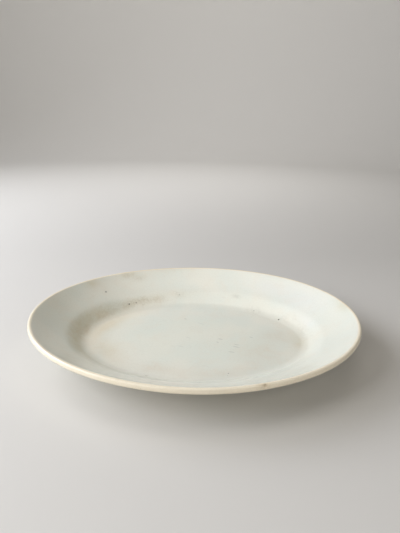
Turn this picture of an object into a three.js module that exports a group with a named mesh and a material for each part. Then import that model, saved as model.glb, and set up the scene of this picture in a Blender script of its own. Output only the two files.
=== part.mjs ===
// An oval serving platter of thick glazed earthenware, in one piece: a flat floor, a coved
// well wall, a broad sloping rim with a rolled lip, and a low foot ring underneath.
// Millimetres, +Z up, X along the platter, Y across it. The origin is the middle of the
// foot ring's lowest face, which is the face the platter stands on.
import * as THREE from "three";

// The outline and the heights.
const LENGTH = 356;
const WIDTH = 265;
const HEIGHT = 42.8;

// The upper side, from the lip inwards. RUN is measured level and RISE upright. SAG is how
// far the corner halfway down the rim lies under the straight line from lip to shoulder.
const LIP_TOP = 3.1;
const RIM_RUN = 32.7;
const RIM_RISE = 20.8;
const RIM_SAG = 1.9;
const WALL_RUN = 18.2;
const WALL_RISE = 13;

// The clay: how thick it is under the slopes, at the lip's outer face and in the floor.
const BODY_THICKNESS = 5.2;
const LIP_THICKNESS = 4.9;
const LIP_ROLL = 6.5;
const FLOOR_THICKNESS = 6;

// The foot ring, which stands under the edge of the floor.
const FOOT_INSET = 56.5;
const FOOT_WIDTH = 5;
const FOOT_TAPER = 1.2;

// How far each corner of the section is rounded, as a length along both of its legs.
const SOFT = {
  floor: 7.5,
  shoulder: 2.5,
  rim: 13,
  lip: 0.8,
  bead: 2.3,
  edge: 2,
  roll: 3,
  foot: 0.9,
  join: 1.6,
};
const SOFT_UNDER_RIM = 8;

// The kiln left the lip a little out of level, twice up and twice down on the way round.
const KILN_WARP = 0.85;
const WARP_HEADING = THREE.MathUtils.degToRad(21);

const SIDES = 76;
const CURVE_STEPS = 4;

const GLAZE = { color: 0xe4e2d4, roughness: 0.22, metalness: 0 };

const tip = LENGTH / 2;
const corner = (r, z, soft = 0) => ({ r, z, soft });

// The corner of the underside that belongs to a corner of the upper side, placed so that
// the clay is equally thick on both of its legs.
function below(inner, middle, outer, soft) {
  const slopeIn = Math.atan2(middle.z - inner.z, middle.r - inner.r);
  const slopeOut = Math.atan2(outer.z - middle.z, outer.r - middle.r);
  const normal = (slopeIn + slopeOut) / 2;
  const reach = BODY_THICKNESS / Math.cos((slopeOut - slopeIn) / 2);
  return corner(middle.r + Math.sin(normal) * reach, middle.z - Math.cos(normal) * reach, soft);
}

// The height of the underside at r, below the leg of the upper side from inner to outer.
function underLeg(inner, outer, r) {
  const slope = (outer.z - inner.z) / (outer.r - inner.r);
  return inner.z + (r - inner.r) * slope - BODY_THICKNESS * Math.hypot(1, slope);
}

// Half of the platter's section, as corners from the middle of the underside out to the
// lip and back over the top.
function sectionCorners() {
  const lipInner = corner(tip - LIP_TOP, HEIGHT, SOFT.lip);
  const rimMiddle = corner(lipInner.r - RIM_RUN / 2, HEIGHT - RIM_RISE / 2 - RIM_SAG, SOFT.rim);
  const shoulder = corner(lipInner.r - RIM_RUN, HEIGHT - RIM_RISE, SOFT.shoulder);
  const floorEdge = corner(shoulder.r - WALL_RUN, shoulder.z - WALL_RISE, SOFT.floor);
  const middle = corner(0, floorEdge.z);
  const recess = floorEdge.z - FLOOR_THICKNESS;
  const footOuter = tip - FOOT_INSET;
  const footInner = footOuter - FOOT_WIDTH;
  const footTop = footOuter + 2 * FOOT_TAPER;
  return [
    corner(0, recess),
    corner(footInner - FOOT_TAPER, recess, SOFT.join),
    corner(footInner, 0, SOFT.foot),
    corner(footOuter, 0, SOFT.foot),
    corner(footTop, underLeg(floorEdge, shoulder, footTop), SOFT.join),
    below(floorEdge, shoulder, rimMiddle, SOFT.shoulder),
    below(shoulder, rimMiddle, lipInner, SOFT_UNDER_RIM),
    corner(tip - LIP_ROLL, underLeg(rimMiddle, lipInner, tip - LIP_ROLL), SOFT.roll),
    corner(tip, HEIGHT - LIP_THICKNESS, SOFT.edge),
    corner(tip, HEIGHT, SOFT.bead),
    lipInner,
    rimMiddle,
    shoulder,
    floorEdge,
    middle,
  ];
}

// Draws the corners as one line and rounds each of them with a short curve.
function softened(corners) {
  const points = corners.map(({ r, z }) => new THREE.Vector2(r, z));
  const line = new THREE.Path();
  line.moveTo(points[0].x, points[0].y);
  for (let i = 1; i < points.length - 1; i += 1) {
    const { soft } = corners[i];
    const start = points[i - 1].clone().sub(points[i]).setLength(soft).add(points[i]);
    const end = points[i + 1].clone().sub(points[i]).setLength(soft).add(points[i]);
    line.lineTo(start.x, start.y);
    line.quadraticCurveTo(points[i].x, points[i].y, end.x, end.y);
  }
  const last = points[points.length - 1];
  line.lineTo(last.x, last.y);
  return line.getPoints(CURVE_STEPS);
}

// Half of the width of the level ring whose half length is r. Outside the floor every ring
// keeps its distance from the lip all the way round, and inside it they shrink together.
function halfWidth(r) {
  const narrower = (LENGTH - WIDTH) / 2;
  const floorRing = tip - LIP_TOP - RIM_RUN - WALL_RUN - SOFT.floor;
  return r > floorRing ? r - narrower : (r * (floorRing - narrower)) / floorRing;
}

// Squeezes the turned form into the oval, and lifts or drops it by the kiln's warp, which
// grows from nothing at the foot to its full height at the lip.
function shapeOval(geometry) {
  const position = geometry.getAttribute("position");
  const footRadius = tip - FOOT_INSET;
  for (let i = 0; i < position.count; i += 1) {
    const x = position.getX(i);
    const y = position.getY(i);
    const r = Math.hypot(x, y);
    const squeeze = r > 0 ? halfWidth(r) / r : 1;
    const outward = THREE.MathUtils.smoothstep(r, footRadius, tip);
    const warp = KILN_WARP * outward * Math.cos(2 * (Math.atan2(y, x) - WARP_HEADING));
    position.setXYZ(i, x, y * squeeze, position.getZ(i) + warp);
  }
  geometry.computeVertexNormals();
  return geometry;
}

function makePlatter() {
  const turned = new THREE.LatheGeometry(softened(sectionCorners()), SIDES);
  turned.rotateX(Math.PI / 2);
  const platter = new THREE.Mesh(shapeOval(turned), new THREE.MeshStandardMaterial(GLAZE));
  platter.name = "platter";
  return platter;
}

const part = new THREE.Group();
part.add(makePlatter());

export default part;
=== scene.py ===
# %% [markdown]
# # An old oval serving platter of white ironstone
#
# The platter is one piece of thick earthenware: a slab of clay pressed over an oval mould,
# trimmed at the lip, given a low foot ring, and dipped in a creamy glaze. Long use has left
# tea-brown seeps in its well, knife marks on its floor and a worn, yellowed lip.
# Everything below is in metres in the CAD part's frame: X runs along the platter, Z is up,
# and the foot ring stands on z = 0. The first cell loads that part, because it fixes the size.

import math

import bmesh
import bpy
from mathutils import Matrix, Vector, noise


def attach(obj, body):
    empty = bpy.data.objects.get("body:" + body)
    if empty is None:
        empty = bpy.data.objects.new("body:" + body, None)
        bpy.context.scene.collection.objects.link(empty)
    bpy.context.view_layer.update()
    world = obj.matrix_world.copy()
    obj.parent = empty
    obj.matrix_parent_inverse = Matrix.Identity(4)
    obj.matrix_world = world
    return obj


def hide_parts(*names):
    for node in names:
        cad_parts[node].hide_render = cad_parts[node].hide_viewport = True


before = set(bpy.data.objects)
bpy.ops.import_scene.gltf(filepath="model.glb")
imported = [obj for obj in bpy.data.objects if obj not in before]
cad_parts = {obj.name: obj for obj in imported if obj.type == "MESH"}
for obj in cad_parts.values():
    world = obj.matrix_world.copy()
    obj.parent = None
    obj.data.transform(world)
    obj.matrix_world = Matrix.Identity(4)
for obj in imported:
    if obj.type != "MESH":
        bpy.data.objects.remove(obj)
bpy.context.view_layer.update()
scene = bpy.context.scene
MM = 0.001

# %% [markdown]
# ## The camera
#
# A platter on a table is seen by someone leaning over it with a phone: a wide lens, close up,
# looking down by about 22 degrees at something that sits low in the frame. A wide lens close
# to its subject makes the near lip look larger than the far one, so the distance matters as
# much as the angle. The lens is assumed to be a phone's usual one, 27 mm, and the distance and
# the angles go with that. The camera is placed first, because every later choice is judged by
# it.

# %% The camera
HALF_LENGTH = 178.0
HALF_WIDTH = 132.5
LIP_HEIGHT = 42.8
CAMERA_DISTANCE = 2.4983 * HALF_LENGTH * MM
CAMERA_ELEVATION = math.radians(27.948)
CAMERA_ASIDE = 0.0207 * HALF_LENGTH * MM
LOOKS_DOWN = math.radians(21.559)
CAMERA_ROLL = math.radians(1.27)
PLATTER_TURN = math.radians(0.952)
LENS_MM = 27.0
SENSOR_MM = 36.0

camera_data = bpy.data.cameras.new("camera")
camera_data.sensor_width = SENSOR_MM
camera_data.lens = LENS_MM
camera = bpy.data.objects.new("camera", camera_data)
scene.collection.objects.link(camera)
camera_place = Vector((
    CAMERA_ASIDE,
    -CAMERA_DISTANCE * math.cos(CAMERA_ELEVATION),
    CAMERA_DISTANCE * math.sin(CAMERA_ELEVATION),
))
camera.matrix_world = (
    Matrix.Translation((0, 0, LIP_HEIGHT * MM))
    @ Matrix.Rotation(-PLATTER_TURN, 4, "Z")
    @ Matrix.Translation(camera_place)
    @ Matrix.Rotation(math.pi / 2 - LOOKS_DOWN, 4, "X")
    @ Matrix.Rotation(CAMERA_ROLL, 4, "Z")
)
scene.camera = camera
print("camera stands at", tuple(round(c, 3) for c in camera.matrix_world.translation))

# %% [markdown]
# ## The section of the clay
#
# Cut through the platter from the middle outwards and the cut shows how it was made: a flat
# floor, a tight cove, a steep wall, a shoulder, a hollow rim and a rolled lip, with the foot
# ring below. One such line, turned round the middle, is the whole platter. It could be drawn
# as a curve, but a few bmesh vertices with a rounded bevel on each keep every size readable:
# inset from the lip's outer edge, height above the table, and how softly it is rounded.

# %% Draw half of the section
SECTION = {
    "middle of the underside": (178.0, 3.0, 0),
    "foot ring's inner root": (62.7, 3.0, 1.6),
    "foot ring's inner edge": (61.5, 0.0, 0.9),
    "foot ring's outer edge": (56.5, 0.0, 0.9),
    "foot ring's outer root": (54.1, 2.5, 1.6),
    "under the shoulder": (33.0, 17.6, 2.5),
    "under the rim": (16.6, 26.1, 8.0),
    "under the lip": (6.5, 34.6, 3.0),
    "lip's lower edge": (-0.4, 38.5, 2.0),
    "lip's upper edge": (0.8, 43.1, 1.5),
    "lip's inner edge": (3.5, 42.9, 1.1),
    "middle of the rim": (19.7, 30.4, 13.0),
    "shoulder": (35.8, 22.0, 2.5),
    "edge of the floor": (54.0, 9.0, 6.0),
    "middle of the floor": (178.0, 9.0, 0),
}
ROUNDING_STEPS = 6
FINEST_STEP = 3.0 * MM


def section_point(inset, height):
    """A point of the section, in the plane y = 0 and in metres."""
    return Vector(((HALF_LENGTH - inset) * MM, 0, height * MM))


def draw_section():
    """The half section as a bmesh wire with rounded corners and evenly short edges."""
    wire = bmesh.new()
    corners = [wire.verts.new(section_point(i, h)) for i, h, _ in SECTION.values()]
    for start, end in zip(corners, corners[1:]):
        wire.edges.new((start, end))
    for inset, height, soft in SECTION.values():
        if soft:
            target = section_point(inset, height)
            corner = min(wire.verts, key=lambda vert: (vert.co - target).length)
            bmesh.ops.bevel(wire, geom=[corner], offset=soft * MM, offset_type="OFFSET",
                            segments=ROUNDING_STEPS, profile=0.5, affect="VERTICES", material=-1)
    for edge in wire.edges[:]:
        cuts = math.ceil(edge.calc_length() / FINEST_STEP) - 1
        if cuts > 0:
            bmesh.ops.subdivide_edges(wire, edges=[edge], cuts=cuts)
    return wire


clay = draw_section()
print("section:", len(clay.verts), "points,",
      round(sum(edge.calc_length() for edge in clay.edges) / MM), "mm long")

# %% [markdown]
# ## Turn the section into a round dish
#
# A potter's wheel does this, and so does bmesh's spin. A full turn needs `use_merge`, so that
# its last step joins its first, and the many points in the middle are merged into one, which
# closes the two poles. Spinning can leave faces inside out, so the normals come last.

# %% Spin the section
SIDES = 400
WELD_DISTANCE = 0.01 * MM

bmesh.ops.spin(clay, geom=clay.verts[:] + clay.edges[:], cent=(0, 0, 0), axis=(0, 0, 1),
               angle=math.tau, steps=SIDES, use_merge=True, use_duplicate=False)
bmesh.ops.remove_doubles(clay, verts=clay.verts, dist=WELD_DISTANCE)
bmesh.ops.recalc_face_normals(clay, faces=clay.faces)
open_edges = sum(not edge.is_manifold for edge in clay.edges)
print("turned:", len(clay.faces), "faces,", open_edges, "open edges")

# %% [markdown]
# ## From round to oval
#
# The real dish was pressed over an oval mould, and its rim and wall are equally wide all the
# way round. Scaling a round dish would make them narrower at the sides, so every ring from
# the lip to the floor is moved inwards by the same distance, and only the floor is scaled.
# Each point also keeps its inset from the lip as an attribute, which the glaze reads later.

# %% Squeeze every ring to the oval
NARROWER = (HALF_LENGTH - HALF_WIDTH) * MM
# From this inset inwards the floor is flat, and its rings shrink together.
FLAT_FLOOR_INSET = 61.5
FLOOR_RING = (HALF_LENGTH - FLAT_FLOOR_INSET) * MM
# A point belongs to the upper side when its normal points up by more than this.
FACES_UP = 0.02
inset_layer = clay.verts.layers.float.new("inset_mm")
upper_layer = clay.verts.layers.float.new("upper_side")


def half_width(radius):
    """Half of the width of the ring whose half length is radius."""
    if radius > FLOOR_RING:
        return radius - NARROWER
    return radius * (FLOOR_RING - NARROWER) / FLOOR_RING


def on_ring(heading, inset):
    """The level place at a heading in degrees and an inset in mm: the middle is (0, 0)."""
    radius = HALF_LENGTH * MM - inset * MM
    angle = math.radians(heading)
    return Vector((radius * math.cos(angle), half_width(radius) * math.sin(angle), 0))


clay.normal_update()
for vert in clay.verts:
    radius = math.hypot(vert.co.x, vert.co.y)
    vert[inset_layer] = HALF_LENGTH - radius / MM
    vert[upper_layer] = 1.0 if vert.normal.z > FACES_UP else 0.0
    if radius > 0:
        vert.co.y *= half_width(radius) / radius
print("widest:", round(2 * max(vert.co.y for vert in clay.verts), 4), "m")

# %% [markdown]
# ## What the kiln and the hand did to it
#
# No old platter is true. In the kiln the lip sagged twice and rose twice on its way round,
# by under a millimetre, and the press left the surface very slightly uneven. The warp grows
# from nothing at the foot, which a potter grinds level. Smooth noise of three widths gives the
# rest: it is what makes a highlight on old glaze wander instead of running straight.

# %% Warp and unevenness
KILN_WARP = 0.85 * MM
WARP_HEADING = math.radians(21)
FOOT_INSET = SECTION["foot ring's outer edge"][0]
# The unevenness sets in between these two heights, so the foot ring stays level.
UNEVEN_FROM = (0.5 * MM, 4 * MM)
# Each of these is the width of a noise and how far it moves the surface, both in mm.
UNEVEN = {90: 0.20, 34: 0.07, 13: 0.02}


def eased(value, low, high):
    """0 below low, 1 above high, with a smooth start and end between them."""
    t = min(max((value - low) / (high - low), 0), 1)
    return t * t * (3 - 2 * t)


for vert in clay.verts:
    outward = 1 - eased(vert[inset_layer], 0, FOOT_INSET)
    heading = math.atan2(vert.co.y, vert.co.x)
    vert.co.z += KILN_WARP * outward * math.cos(2 * (heading - WARP_HEADING))
    clear_of_foot = eased(vert.co.z, *UNEVEN_FROM)
    for width, height in UNEVEN.items():
        bump = noise.noise(vert.co / (width * MM))
        vert.co.z += bump * height * MM * clear_of_foot
print("lip from", round(min(v.co.z for v in clay.verts if v[inset_layer] < 0.5) / MM, 2),
      "to", round(max(v.co.z for v in clay.verts) / MM, 2), "mm high")

# %% [markdown]
# ## A chip in the lip and the marks of the kiln's stilts
#
# Two small things are real shape. A knock has taken a flake off the near lip, where the brown
# body shows. Under the rim, the three pins that held the platter in the glaze kiln have left
# small raised points. Each needs finer faces than the dish has, so only the faces around it
# are cut smaller before the points are moved.

# %% Cut the chip and raise the stilt marks
CHIP_HEADING = 288.5
CHIP_INSET = 0.6
CHIP_HALF_ALONG = 2.1 * MM
CHIP_HALF_ACROSS = 1.3 * MM
CHIP_DEPTH = 0.55 * MM
# The hollow runs out between these shares of the chip's size, along a ragged line.
CHIP_EDGE = (0.55, 1.05)
CHIP_RAGGED = 0.35
CHIP_GRAIN = 0.9 * MM
STILT_HEADINGS = (32, 150, 268)
STILT_INSET = 14
STILT_RADIUS = 1.3 * MM
STILT_HEIGHT = 0.5 * MM
# How far around each mark the faces are cut smaller, and with how many cuts to an edge.
CHIP_FINER = (6 * MM, 3)
STILT_FINER = (4.5 * MM, 2)


def nearest_vert(place, upper):
    """The point of the clay that is nearest to place, seen from above, on one of its sides."""
    side = 1.0 if upper else 0.0
    return min((v for v in clay.verts if v[upper_layer] == side),
               key=lambda v: (v.co.xy - place.xy).length)


def refine(place, reach, cuts):
    """Cuts the faces within reach of a place smaller, and gives back the points there."""
    near = [f for f in clay.faces if (f.calc_center_median() - place).length < reach]
    edges = list({edge for face in near for edge in face.edges})
    bmesh.ops.subdivide_edges(clay, edges=edges, cuts=cuts, use_grid_fill=True)
    clay.normal_update()
    return [v for v in clay.verts if (v.co - place).length < reach]


chip_place = nearest_vert(on_ring(CHIP_HEADING, CHIP_INSET), True).co.copy()
along_lip = (on_ring(CHIP_HEADING + 1, 0) - on_ring(CHIP_HEADING, 0)).normalized()
for vert in refine(chip_place, *CHIP_FINER):
    offset = vert.co - chip_place
    along = offset.dot(along_lip) / CHIP_HALF_ALONG
    ragged = CHIP_RAGGED * noise.noise(vert.co / CHIP_GRAIN)
    across = (offset - offset.dot(along_lip) * along_lip).length / CHIP_HALF_ACROSS
    hollow = 1 - eased(math.hypot(along, across) + ragged, *CHIP_EDGE)
    vert.co -= vert.normal * CHIP_DEPTH * hollow
for heading in STILT_HEADINGS:
    stilt_place = nearest_vert(on_ring(heading, STILT_INSET), False).co.copy()
    for vert in refine(stilt_place, *STILT_FINER):
        away = (vert.co - stilt_place).length
        vert.co += vert.normal * STILT_HEIGHT * (1 - eased(away, 0, STILT_RADIUS))
print("chip at", tuple(round(c / MM, 1) for c in chip_place), "mm;", len(clay.faces), "faces")

# %% [markdown]
# ## Where long use has settled, and where light and shade are painted
#
# Stains on a dish follow its anatomy: gravy pools along the foot of the wall, tannin creeps
# into the crazed glaze there, the lip yellows where it is handled, and knives fall in the
# middle of the floor. They could be placed with textures alone, but painting soft patches on
# the points, by heading and inset, keeps each stain where it belongs on the dish. Some patches
# are painted light and shade instead: a lighter stretch on the left of the floor, cool window
# light on the right of the rim, warm shade in the yellowing of the left wall, and grey shade
# on the right wall. Fine noise in the material breaks up their outlines later.

# %% Paint the stains, and painted light and shade, on the points
# Each patch is heading, inset in mm, half length along the ring, half width across it, strength.
PATCHES = {
    "seep": [
        (131, 45.5, 11, 5.0, 0.26), (121, 44, 9, 5.5, 0.26), (112, 44, 10, 5, 0.26),
        (142, 46, 14, 6, 0.16), (150, 50, 16, 4, 0.10), (176, 50, 16, 3, 0.08),
        (175, 52.8, 14, 2.2, 0.18), (99, 40, 7, 4, 0.10), (127, 43, 7, 3.5, 0.22),
        (98, 38, 34, 5, 0.07), (118, 12, 9, 4, 0.18), (123, 7, 8, 3.5, 0.16),
        (1, 57, 17, 5, 0.04), (119, 43, 9, 4, 0.12),
        (288.5, 2, 5, 2.5, 0.30), (247.4, 55, 2.5, 2, 0.15),
    ],
    # Yellowing of the lip and of stains; on the left wall it is painted warm shade as well.
    "yellowing_and_warm_shade": [
        (141.5, 7, 9, 5, 0.25), (9, 6, 12, 5, 0.22), (152, 45, 22, 8, 0.26),
        (172, 45, 22, 8, 0.36), (192, 46, 22, 7, 0.36), (212, 47, 20, 7, 0.20), (122, 5, 12, 4, 0.2),
        (182, 22, 50, 14, 0.06), (160, 68, 30, 10, 0.24), (205, 74, 26, 12, 0.18),
        (353, 60, 14, 8, 0.14), (358, 64, 22, 10, 0.08), (100, 4, 60, 3, 0.12),
    ],
    "blush": [
        (150, 66, 30, 9, 0.06), (178, 66, 30, 10, 0.10), (212, 68, 26, 9, 0.14),
        (250, 74, 26, 8, 0.22), (287, 66, 30, 9, 0.22), (5, 84, 16, 18, 0.30), (325, 92, 22, 20, 0.26),
    ],
    # Painted shade: grey on the right and far-right wall and its foot.
    "painted_shade": [
        (67, 38.5, 6, 3.5, 0.26), (53, 53, 10, 5, 0.22), (33, 50, 12, 4, 0.16), (8, 50, 24, 5, 0.13),
    ],
    # Painted light: a creamier, lighter stretch over the left of the floor.
    "painted_light_left_floor": [
        (133, 63, 22, 10, 0.40), (157, 62, 22, 10, 0.42), (182, 62, 20, 9, 0.40),
        (203, 58, 14, 5, 0.30), (150, 76, 34, 12, 0.20),
    ],
    # Painted light: the window's cool, faintly blue light on the right end of the rim, which faces it.
    "painted_cool_light_right_rim": [
        (30, 22, 34, 18, 0.30), (52, 20, 26, 12, 0.24), (14, 41, 14, 6, 0.26),
    ],
}


def paint(name, patches):
    """Adds soft oval patches to the upper side as a point attribute."""
    layer = clay.verts.layers.float.new(name)
    for heading, inset, half_along, half_across, strength in patches:
        centre = on_ring(heading, inset)
        tangent = (on_ring(heading + 0.5, inset) - on_ring(heading - 0.5, inset)).normalized()
        for vert in clay.verts:
            if vert[upper_layer]:
                offset = Vector((vert.co.x, vert.co.y, 0)) - centre
                along = offset.dot(tangent) / (half_along * MM)
                across = offset.cross(tangent).length / (half_across * MM)
                patch = strength * math.exp(-along * along - across * across)
                vert[layer] = 1 - (1 - vert[layer]) * (1 - patch)
    print(name, "covers", sum(vert[layer] > 0.1 for vert in clay.verts), "points")


for stain, stain_patches in PATCHES.items():
    paint(stain, stain_patches)

# %% [markdown]
# ## Glazed ironstone
#
# Ironstone is a dense white earthenware under a lead glaze that has gone creamy with age. The
# glaze gives a soft, wide gloss; the body below gives a warm off-white that is never quite
# even. Over it come, in order: cloudy cool and warm patches, the greener floor, painted light
# as a creamier stretch on the left of the floor and a milkier one on the right of the rim, the
# worn lip with a painted highlight, the tannin seeps, yellowing with painted warm shade on the
# left wall, a blush on the floor, painted grey shade on the right wall, fine crazing that holds
# dirt, grey knife marks, iron specks and the chip. Sizes are in real units: the crazing's cells
# are made about 4 mm across.

# %% One colour converter and one function that adds a node
def linear(hex_colour, alpha=1.0):
    """An sRGB colour such as "E6E4D6" as the linear RGBA that Blender's sockets expect."""
    channels = [int(hex_colour[k:k + 2], 16) / 255 for k in (0, 2, 4)]
    return [c / 12.92 if c <= 0.04045 else ((c + 0.055) / 1.055) ** 2.4 for c in channels] + [alpha]


def node(tree, kind, inputs, out=0, **settings):
    """Adds a shader node, sets it up, fills or links its inputs, and gives back one output."""
    made = tree.nodes.new("ShaderNode" + kind)
    for name, value in settings.items():
        setattr(made, name, value)
    for socket, value in inputs.items():
        if isinstance(value, bpy.types.NodeSocket):
            tree.links.new(value, made.inputs[socket])
        else:
            made.inputs[socket].default_value = value
    return made.outputs[out]


def new_material(name, **shader):
    """A material with one Principled shader whose constants are set on its own sockets."""
    material = bpy.data.materials.new(name)
    material.use_nodes = True
    principled = material.node_tree.nodes["Principled BSDF"]
    for socket, value in shader.items():
        principled.inputs[socket.replace("_", " ")].default_value = value
    return material, material.node_tree, principled


# %% What the glaze can follow: its place, the painted patches and noise
# The Mix node's sockets by number: its two colours, its factor and the mixed colour.
A, B, FACTOR, MIXED = 6, 7, 0, 2
# Each noise is the size of its clouds in mm, its detail and its roughness.
NOISES = {
    "clouds": (55, 2.0, 0.5), "mottle": (17, 3.0, 0.6), "ripple": (14, 1.0, 0.5),
    "wear": (9, 4.0, 0.65), "fray": (6, 5.0, 0.62), "peel": (1.8, 1.0, 0.5),
}

ironstone, tree, glaze = new_material("glazed_ironstone", IOR=1.54, Metallic=0.0)
place = node(tree, "TexCoord", {}, out=3)
painted = {}
for name in ("inset_mm", "upper_side", *PATCHES):
    painted[name] = node(tree, "Attribute", {}, out=2, attribute_name=name)
noises = {}
for name, (size, detail, grain) in NOISES.items():
    noises[name] = node(tree, "TexNoise", {"Vector": place, "Scale": 1 / (size * MM),
                                           "Detail": detail, "Roughness": grain})


def coat(tree, under, follows, span, strength, tint, within=1.0, blend="MIX"):
    """Lays a colour over another. Its strength changes while the value it follows crosses span."""
    eased_in = node(tree, "MapRange", {0: follows, 1: span[0], 2: span[1], 3: strength[0],
                                       4: strength[1]}, interpolation_type="SMOOTHSTEP")
    mask = node(tree, "Math", {0: eased_in, 1: within}, operation="MULTIPLY")
    over = node(tree, "Mix", {FACTOR: mask, A: under, B: linear(tint)}, out=MIXED,
                data_type="RGBA", blend_type=blend)
    return over, mask


# %% [markdown]
# The cream is a little cooler in wide clouds and a little warmer in small ones. The floor of
# the well is a shade greener in the middle, and the worn lip is warm and yellowish, and lighter
# than the rest of the glaze, which is partly a painted highlight along its rolled crest. These
# two follow the inset that every point carries, so they run evenly round the oval. Two patches
# of painted light break that evenness: a creamier, lighter one over the left of the floor, and
# a milky, faintly blue one over the right end of the rim, the window's cool light on the side
# that faces it.

# %% The glaze's own colour
colour = linear("E9E7DA")
colour, _ = coat(tree, colour, noises["clouds"], (0.35, 0.65), (0.0, 1.0), "E3E5DA")
colour, _ = coat(tree, colour, noises["mottle"], (0.45, 0.75), (0.0, 0.35), "E6DFCF")
colour, floor_mask = coat(tree, colour, painted["inset_mm"], (70.0, 120.0), (0.0, 0.2),
                          "DDE3D5", painted["upper_side"])
# Painted light: a creamier, lighter patch over the left of the floor.
colour, _ = coat(tree, colour, noises["clouds"], (0.2, 0.8), (0.8, 1.1), "F6ECD8",
                 painted["painted_light_left_floor"])
# Painted light: a milky, faintly blue patch on the right end of the rim, the window's cool light where
# the rim faces it.
colour, _ = coat(tree, colour, noises["clouds"], (0.2, 0.8), (0.8, 1.1), "EAEDEF",
                 painted["painted_cool_light_right_rim"])
# The lip: warm, worn glaze, mixed lighter than the rest, which is partly a painted highlight along its
# rolled crest.
colour, lip_mask = coat(tree, colour, painted["inset_mm"], (3.0, 4.8), (0.9, 0.0), "F6EAD2")

# %% [markdown]
# The seeps, the yellowing and the blush are colour over colour, so they multiply what is
# under them. On the left wall, which turns away from the light, the yellowing is also painted
# warm shade, and a neutral grey multiplies painted shade into the right wall and its foot.
# Noise at a few millimetres frays the soft painted patches.

# %% Seeps, yellowing and warm shade, blush, and painted grey shade
colour, seep_mask = coat(tree, colour, noises["fray"], (0.25, 0.75), (0.6, 1.3), "C2AC82",
                         painted["seep"], "MULTIPLY")
# Yellowing of the lip and of stains; on the left wall, which turns away from the light, it is also
# painted warm shade.
colour, _ = coat(tree, colour, noises["fray"], (0.35, 0.65), (0.8, 1.15), "DFC794",
                 painted["yellowing_and_warm_shade"], "MULTIPLY")
colour, _ = coat(tree, colour, noises["mottle"], (0.35, 0.65), (0.6, 1.0), "EBCFB8",
                 painted["blush"], "MULTIPLY")
# Painted shade: a neutral grey darkens the right and far-right wall and its foot.
colour, _ = coat(tree, colour, noises["fray"], (0.40, 0.65), (0.3, 1.2), "B4B4AE",
                 painted["painted_shade"], "MULTIPLY")

# %% [markdown]
# Crazing is the net of hairline cracks that forms when glaze shrinks more than clay. A Voronoi
# texture's distance to its cell edges draws just such a net. Real cracks are a twentieth of a
# millimetre wide, so they are drawn about five times wider to show at all, and faintly, except
# where tannin has crept in.

# %% Crazing
CRAZE_CELL = 4.2 * MM
CRAZE_WIDTH = 0.06
CRAZE_BEND = 1.6 * MM
CRAZE_WANDER = 5 * MM
# How much a seep darkens a crack, and how dark a crack is without one.
CRAZE_STAINED = 0.55
CRAZE_CLEAN = 0.05

wander = node(tree, "TexNoise", {"Vector": place, "Scale": 1 / CRAZE_WANDER, "Detail": 2.0},
              out=1)
bent = node(tree, "VectorMath", {0: wander, 1: (CRAZE_BEND,) * 3, 2: place},
            operation="MULTIPLY_ADD")
cracks = node(tree, "TexVoronoi", {"Vector": bent, "Scale": 1 / CRAZE_CELL},
              feature="DISTANCE_TO_EDGE")
dirt = node(tree, "Math", {0: painted["seep"], 1: CRAZE_STAINED, 2: CRAZE_CLEAN},
            operation="MULTIPLY_ADD")
colour, craze = coat(tree, colour, cracks, (0.0, CRAZE_WIDTH), (1.0, 0.0), "8C7651", dirt)

# %% [markdown]
# Knives leave grey metal in the glaze in short strokes. These run much the same way, as they do
# when the carver keeps to one side. Each stroke is an ellipse: a Mapping node of the
# texture kind turns and scales the place, so that the ellipse becomes a ball of radius 1. Real
# ones are hair thin, and these are wider and fainter, which looks the same from a distance.

# %% Knife marks
# Each stroke is x, y and length in mm, heading in degrees, strength.
STROKES = [
    (28.5, -2.5, 8, -15, 0.40), (25, -9, 5, -20, 0.30), (45, -18, 11, -18, 0.32),
    (46, -13.5, 10, -18, 0.26), (64, 2, 7, -30, 0.28), (39, -28, 10, -12, 0.28),
    (-12, 43, 5, -40, 0.35), (7, 32, 14, -35, 0.14), (-8, 0, 9, -25, 0.14),
    (-16, -18, 12, -20, 0.12),
]
STROKE_WIDTH = 2.2
STROKE_CORE = 0.3
METAL_GREY = "8F918A"

floor_height = SECTION["middle of the floor"][1] * MM
stroke_masks = []
for x, y, length, heading, strength in STROKES:
    in_stroke = node(tree, "Mapping", {"Vector": place,
                                       "Location": (x * MM, y * MM, floor_height),
                                       "Rotation": (0, 0, math.radians(heading)),
                                       "Scale": (length / 2 * MM, STROKE_WIDTH / 2 * MM, MM)},
                     vector_type="TEXTURE")
    away = node(tree, "VectorMath", {0: in_stroke}, out=1, operation="LENGTH")
    colour, mask = coat(tree, colour, away, (STROKE_CORE, 1.0), (strength, 0.0), METAL_GREY)
    stroke_masks.append(mask)

# %% [markdown]
# Iron in the clay boils up through the glaze as dark specks. The few large ones are placed by
# heading and inset, each as a small ball of colour around the nearest point of the clay.
# A sprinkle of tiny ones comes from a Voronoi texture, of which less than one cell in five
# counts.

# %% Iron specks
# Each speck is heading, inset in mm, radius in mm, strength.
SPECKS = [
    (137.4, 21.3, 1.7, 0.5), (129.6, 44.2, 1.3, 0.8), (124.9, 43.5, 1.0, 0.6),
    (33.0, 54.3, 1.2, 1.0), (286.8, 65.6, 0.9, 0.45), (247.4, 54.9, 0.9, 0.45),
    (53.1, 52.3, 1.0, 0.35), (98.7, 40.3, 1.2, 0.3),
]
IRON = "3A3226"
SPRINKLE_CELL = 11 * MM
SPRINKLE_SIZE = 0.035
SPRINKLE_STRENGTH = 0.5
# A cell counts when its random value, between 0 and 1, is over this.
SPRINKLE_RARITY = 0.82
# The dark core of a placed speck and of a sprinkled one, as shares of its radius.
SPECK_CORE = 0.45
SPRINKLE_CORE = 0.5

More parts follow.
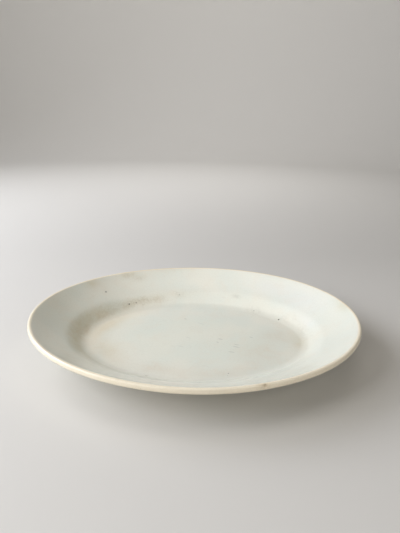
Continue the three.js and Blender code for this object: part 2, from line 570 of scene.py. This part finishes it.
for heading, speck_inset, radius, strength in SPECKS:
    centre = nearest_vert(on_ring(heading, speck_inset), True).co
    away = node(tree, "VectorMath", {0: place, 1: centre}, out=1, operation="DISTANCE")
    colour, _ = coat(tree, colour, away, (radius * SPECK_CORE * MM, radius * MM),
                     (strength, 0.0), IRON)
cells = {"Vector": place, "Scale": 1 / SPRINKLE_CELL}
lots = node(tree, "SeparateColor", {0: node(tree, "TexVoronoi", cells, out=1)})
rare = node(tree, "Math", {0: lots, 1: SPRINKLE_RARITY}, operation="GREATER_THAN")
colour, _ = coat(tree, colour, node(tree, "TexVoronoi", cells),
                 (SPRINKLE_SIZE * SPRINKLE_CORE, SPRINKLE_SIZE), (SPRINKLE_STRENGTH, 0.0), IRON, rare)

# %% [markdown]
# The chip's broken face is brown with old dirt and much duller than the glaze. Use has dulled
# the floor and the lip a little too, so the gloss changes from place to place. Everything but
# the chip keeps a roughness under about 0.27: past that, the denoiser left bright specks where
# gloss and dullness meet. The relief is a few hundredths of a millimetre: slow
# ripples from the dipping, an orange-peel grain, and the cracks and knife strokes cut into it.

# %% The chip, the gloss and the relief of the glaze
CHIP_REACH = (1.3 * MM, 2.6 * MM)
CHIP_FRAY = 1.2 * MM
CHIP_STRENGTH = 0.5
CHIP_DULLER = 0.5
GLOSS = (0.15, 0.21)
# Each of these is how much a mask adds to the roughness.
DULLED = [(floor_mask, 0.15), (lip_mask, 0.05), (seep_mask, 0.06)]
DULLED += [(mask, 0.05) for mask in stroke_masks]
# Each of these is how many mm a pattern raises the surface.
RELIEF = [(noises["ripple"], 0.03), (noises["peel"], 0.0012), (craze, -0.001)]

away = node(tree, "VectorMath", {0: place, 1: chip_place}, out=1, operation="DISTANCE")
ragged = node(tree, "Math", {0: noises["wear"], 1: CHIP_FRAY, 2: away}, operation="MULTIPLY_ADD")
colour, chip_mask = coat(tree, colour, ragged, CHIP_REACH, (CHIP_STRENGTH, 0.0), "A98C66")
rough = node(tree, "MapRange", {0: noises["fray"], 1: 0.3, 2: 0.7, 3: GLOSS[0], 4: GLOSS[1]})
for mask, amount in DULLED + [(chip_mask, CHIP_DULLER)]:
    rough = node(tree, "Math", {0: mask, 1: amount, 2: rough}, operation="MULTIPLY_ADD")
relief = 0.0
for pattern, height in RELIEF:
    relief = node(tree, "Math", {0: pattern, 1: height * MM, 2: relief},
                  operation="MULTIPLY_ADD")
skin = node(tree, "Bump", {"Strength": 1.0, "Distance": 1.0, "Height": relief})
tree.links.new(colour, glaze.inputs["Base Color"])
tree.links.new(rough, glaze.inputs["Roughness"])
tree.links.new(skin, glaze.inputs["Normal"])
print("glazed ironstone has", len(tree.nodes), "nodes")

# %% [markdown]
# ## The bare clay of the foot ring
#
# The potter wipes the glaze off the ring that the dish stands on, or it would fuse to the
# kiln shelf. That leaves a band of biscuit: fired clay without glaze, matt, gritty and buff,
# with darker grime in wide patches. It is a second material on the same mesh, given to the
# lowest faces.

# %% Wiped biscuit of the foot ring
GRIT_SIZE = 0.9 * MM
GRIME_SIZE = 12 * MM
GRIT_HEIGHT = 0.05 * MM

biscuit, clay_tree, bare = new_material("wiped_biscuit", IOR=1.5, Roughness=0.85)
spot = node(clay_tree, "TexCoord", {}, out=3)
grit = node(clay_tree, "TexNoise", {"Vector": spot, "Scale": 1 / GRIT_SIZE, "Detail": 4.0})
grime = node(clay_tree, "TexNoise", {"Vector": spot, "Scale": 1 / GRIME_SIZE, "Detail": 4.0})
buff, _ = coat(clay_tree, linear("C9B592"), grit, (0.3, 0.7), (0.0, 1.0), "DCCBAC")
dusty, _ = coat(clay_tree, buff, grime, (0.4, 0.7), (0.1, 0.8), "8B7B63")
gritty = node(clay_tree, "Bump", {"Strength": 1.0, "Distance": GRIT_HEIGHT, "Height": grit})
clay_tree.links.new(dusty, bare.inputs["Base Color"])
clay_tree.links.new(gritty, bare.inputs["Normal"])

# %% [markdown]
# ## The finished platter
#
# The bmesh becomes one mesh object at the origin. It rides on the CAD part's only body and
# stands for the CAD node.

# %% Make the object
FOOT_WIPED_BELOW = 0.35 * MM

for face in clay.faces:
    face.smooth = True
    face.material_index = 1 if face.calc_center_median().z < FOOT_WIPED_BELOW else 0
platter_mesh = bpy.data.meshes.new("ironstone_platter")
clay.to_mesh(platter_mesh)
clay.free()
platter_mesh.materials.append(ironstone)
platter_mesh.materials.append(biscuit)
platter = bpy.data.objects.new("ironstone_platter", platter_mesh)
scene.collection.objects.link(platter)
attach(platter, "root")
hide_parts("platter")
triangles = sum(len(face.vertices) - 2 for face in platter_mesh.polygons)
print("platter:", triangles, "triangles")

# %% [markdown]
# ## The studio
#
# The platter stands in the middle of a round infinity cove: a pale painted floor that curves
# up into a wall on every side. From above the two run into each other softly; in a level view
# the bright floor still ends in a line. It is another spun section. It isn't part of the
# object.

# %% A round cove
COVE_RADIUS = 2.6
COVE_HEIGHT = 3.0
COVE_BEND = 0.9
COVE_BEND_STEPS = 24
COVE_SIDES = 128
COVE_WELD_DISTANCE = 0.1 * MM

cove_wire = bmesh.new()
cove_corners = [cove_wire.verts.new(co) for co in
                ((0, 0, 0), (COVE_RADIUS, 0, 0), (COVE_RADIUS, 0, COVE_HEIGHT))]
for start, end in zip(cove_corners, cove_corners[1:]):
    cove_wire.edges.new((start, end))
bmesh.ops.bevel(cove_wire, geom=[cove_corners[1]], offset=COVE_BEND, offset_type="OFFSET",
                segments=COVE_BEND_STEPS, profile=0.5, affect="VERTICES", material=-1)
bmesh.ops.spin(cove_wire, geom=cove_wire.verts[:] + cove_wire.edges[:], cent=(0, 0, 0),
               axis=(0, 0, 1), angle=math.tau, steps=COVE_SIDES, use_merge=True,
               use_duplicate=False)
bmesh.ops.remove_doubles(cove_wire, verts=cove_wire.verts, dist=COVE_WELD_DISTANCE)
bmesh.ops.recalc_face_normals(cove_wire, faces=cove_wire.faces)
for face in cove_wire.faces:
    face.smooth = True
cove_mesh = bpy.data.meshes.new("cove")
cove_wire.to_mesh(cove_mesh)
cove_wire.free()
paint_material, _, _ = new_material("matt_emulsion_paint", Base_Color=linear("D6D3CE"),
                                    Roughness=0.8, IOR=1.45)
cove_mesh.materials.append(paint_material)
cove = bpy.data.objects.new("cove", cove_mesh)
scene.collection.objects.link(cove)
print("cove:", len(cove_mesh.polygons), "faces")

# %% [markdown]
# ## The light
#
# The platter is lit from its left by one big window, low enough that the left rim turns away
# from it and goes grey while the right rim faces it and glows. Three round area lights make
# the window: a low one, and two higher ones beside it. Weaker ones fill the shadows: two for
# the room, on the near side and the right, and two for the ceiling. The last one shines on the
# back of the cove. The cameras don't see the lamps, but the glaze does.

# %% Window light and fills
LAMP_DISTANCE = 1.5
LAMP_DIAMETER = 0.8
AIR_TINT = "FFFCF8"
AIR_STRENGTH = 0.05
PLATTER = (0, 0, 0)
BACK_OF_COVE = (0, COVE_RADIUS, 0.45)
# Each lamp is azimuth from +X and elevation in degrees, watts, colour, and where it points.
LAMPS = {
    "window": (180, 24, 8.4, "EEF3FF", PLATTER),
    "window_far_side": (157, 36, 8.2, "F3F7FF", PLATTER),
    "window_near_side": (202, 36, 8.2, "F7FAFF", PLATTER),
    "room_near_side": (248, 24, 4.5, "FFFDF9", PLATTER),
    "room_right": (315, 36, 1.6, "FFFAF2", PLATTER),
    "ceiling": (0, 88, 2.3, "FFFAF0", PLATTER),
    "ceiling_left": (180, 60, 1.4, "FFFCF6", PLATTER),
    "backdrop": (90, 55, 12.0, "FFFFFF", BACK_OF_COVE),
}

for name, (azimuth, elevation, watts, tint, target) in LAMPS.items():
    lamp = bpy.data.lights.new(name, "AREA")
    lamp.shape = "DISK"
    lamp.size = LAMP_DIAMETER
    lamp.energy = watts
    lamp.color = linear(tint)[:3]
    holder = bpy.data.objects.new(name, lamp)
    scene.collection.objects.link(holder)
    holder.visible_camera = False
    turn, tilt = math.radians(azimuth), math.radians(elevation)
    outwards = Vector((math.cos(turn) * math.cos(tilt), math.sin(turn) * math.cos(tilt),
                       math.sin(tilt)))
    holder.location = outwards * LAMP_DISTANCE
    holder.rotation_euler = (holder.location - Vector(target)).to_track_quat("Z", "Y").to_euler()
world = bpy.data.worlds.new("studio_air")
world.use_nodes = True
world.node_tree.nodes["Background"].inputs["Color"].default_value = linear(AIR_TINT)
world.node_tree.nodes["Background"].inputs["Strength"].default_value = AIR_STRENGTH
scene.world = world
scene.view_settings.view_transform = "Standard"
print(len(LAMPS), "lamps,", round(sum(lamp[2] for lamp in LAMPS.values()), 1), "W in all")
